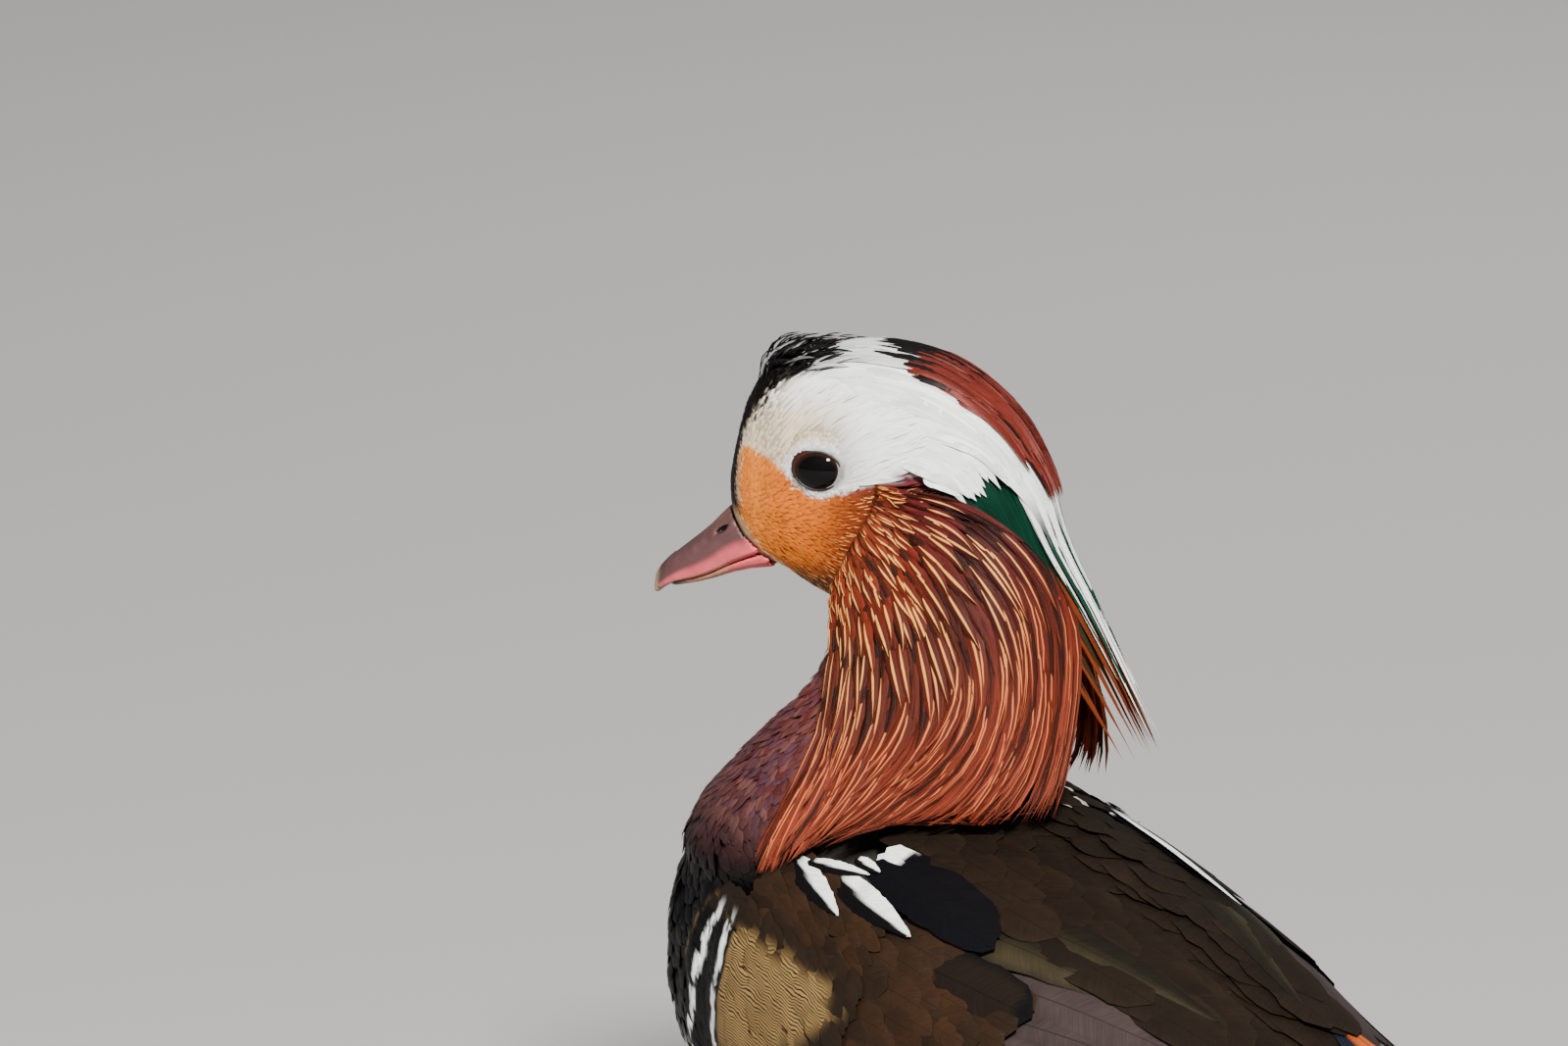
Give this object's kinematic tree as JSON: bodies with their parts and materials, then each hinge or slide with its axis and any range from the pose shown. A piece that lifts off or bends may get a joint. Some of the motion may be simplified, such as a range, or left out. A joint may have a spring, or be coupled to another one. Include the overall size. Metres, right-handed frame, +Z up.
{
  "type": "mandarin duck",
  "caption": "Life-size still model of an adult mandarin drake standing with its head turned to its left, crest, ruff, wings and tail in layered feathers.",
  "frame": {"origin": "centre of the footprint box, on the floor under the feet", "axes": "+Z up; the bird faces -Y and its left side is +X, with the head turned to its left"},
  "size_m": [0.1226, 0.3281, 0.2715],
  "materials": {
    "head_feathers": "matte white, cream and orange feathers with a black forehead",
    "crest_feathers": "silky white, chestnut, black and green feathers",
    "ruff_feathers": "silky orange to maroon hackles with pale shafts",
    "body_feathers": "soft feathers, purple-maroon breast, barred sides, buff flanks, white belly",
    "wing_feathers": "dark brown feathers with olive and blue gloss, pale edges and one broad orange feather a side",
    "bill": "satin horn, mauve-grey above and pink-red at the edge, pale nail",
    "eye": "wet gloss, very dark brown",
    "leg_skin": "dull orange-yellow scaled skin, darker webs"
  },
  "bodies": {
    "root": {"head": "head_feathers", "neck": "body_feathers", "torso": "body_feathers", "bill_upper": "bill", "bill_lower": "bill", "crest": "crest_feathers", "tail": "wing_feathers", "eye_left": "eye", "ruff_left": "ruff_feathers", "wing_left": "wing_feathers", "leg_left": "leg_skin", "foot_left": "leg_skin", "eye_right": "eye", "ruff_right": "ruff_feathers", "wing_right": "wing_feathers", "leg_right": "leg_skin", "foot_right": "leg_skin"}
  },
  "joints": []
}
